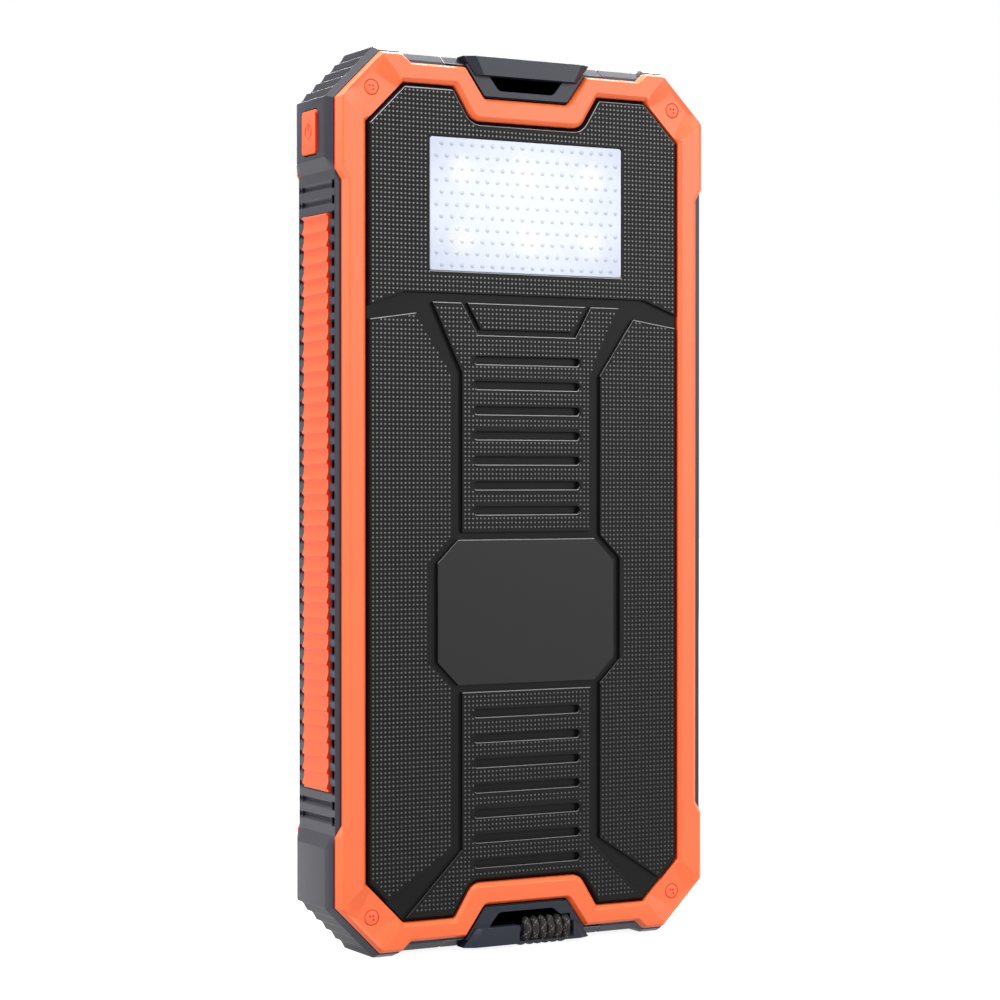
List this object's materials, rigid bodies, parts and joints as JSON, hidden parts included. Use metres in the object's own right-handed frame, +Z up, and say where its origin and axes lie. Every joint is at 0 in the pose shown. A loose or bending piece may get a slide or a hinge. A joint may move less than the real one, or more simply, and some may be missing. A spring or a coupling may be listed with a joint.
{
  "type": "jump starter pack",
  "caption": "Flat rugged power pack with a lamp window, orange bumper frames, ribbed grips, a push button, a hinged port cover and lanyard bars.",
  "frame": {"origin": "middle of the lower end, on the plane that the pack stands on", "axes": "+X to the right seen from the lamp side, +Y to the back, +Z up towards the ports"},
  "size_m": [0.0867, 0.0208, 0.1775],
  "materials": {
    "case_plastic": "dark slate grey moulded plastic, fine satin",
    "panel_plastic": "near-black moulded plastic with a fine dotted texture",
    "frame_plastic": "bright orange moulded plastic, satin",
    "plug_plastic": "bright orange moulded plastic, satin",
    "grip_rubber": "soft orange rubber, satin",
    "button_plastic": "orange moulded plastic, satin",
    "seal_rubber": "black soft rubber, matte",
    "screw_steel": "plated steel",
    "lens_plastic": "milky white diffuser with small dots",
    "reflector_plastic": "white plastic, satin",
    "lamp_board": "white lacquered circuit board",
    "led_phosphor": "yellow phosphor, gloss",
    "circuit_board": "green lacquered circuit board",
    "chip_resin": "black resin, satin",
    "plunger_plastic": "light grey plastic",
    "port_steel": "nickel plated steel",
    "socket_plastic": "dark blue plastic, satin",
    "contact_brass": "gold plated brass",
    "cell_foil": "aluminium laminate foil, satin",
    "foam_pad": "black foam, matte",
    "tab_nickel": "nickel strip",
    "lead_rubber": "silicone insulation, satin",
    "light_pipe": "clear acrylic",
    "loop_plastic": "dark blue-grey moulded plastic, satin",
    "cord_braid": "black braided cord with light flecks"
  },
  "bodies": {
    "case": {"mid_case": "case_plastic", "front_panel": "panel_plastic", "back_panel": "panel_plastic", "front_frame": "frame_plastic", "back_frame": "frame_plastic", "front_gasket": "seal_rubber", "back_gasket": "seal_rubber", "front_screws": "screw_steel", "back_screws": "screw_steel", "front_screw_plugs": "plug_plastic", "back_screw_plugs": "plug_plastic", "right_grip": "grip_rubber", "left_grip": "grip_rubber", "led_lens": "lens_plastic", "light_box": "reflector_plastic", "led_board": "lamp_board", "led_chips": "led_phosphor", "main_board": "circuit_board", "board_screws": "screw_steel", "board_parts": "chip_resin", "power_switch": "chip_resin", "usb_a_port": "port_steel", "usb_c_port": "port_steel", "jump_socket": "socket_plastic", "socket_pins": "contact_brass", "port_seal": "seal_rubber", "hinge_pin": "screw_steel", "battery_cells": "cell_foil", "battery_pads": "foam_pad", "cell_tabs": "tab_nickel", "protection_board": "circuit_board", "battery_leads": "lead_rubber", "charge_lights": "light_pipe", "top_lanyard_loop": "loop_plastic", "bottom_lanyard_loop": "loop_plastic", "lanyard_cord": "cord_braid"},
    "port_cover": {"port_cover": "case_plastic"},
    "power_button": {"power_button": "button_plastic", "switch_plunger": "plunger_plastic"}
  },
  "joints": [
    {"name": "port_cover_hinge", "type": "hinge", "parent": "case", "child": "port_cover", "pos_m": [0, -0.0009, 0.17575], "axis": [1, 0, 0], "range_deg": [0, 120]},
    {"name": "power_button_press", "type": "slide", "parent": "case", "child": "power_button", "axis": [1, 0, 0], "range_m": [0, 0.0005], "stiffness_N_per_m": 600}
  ]
}
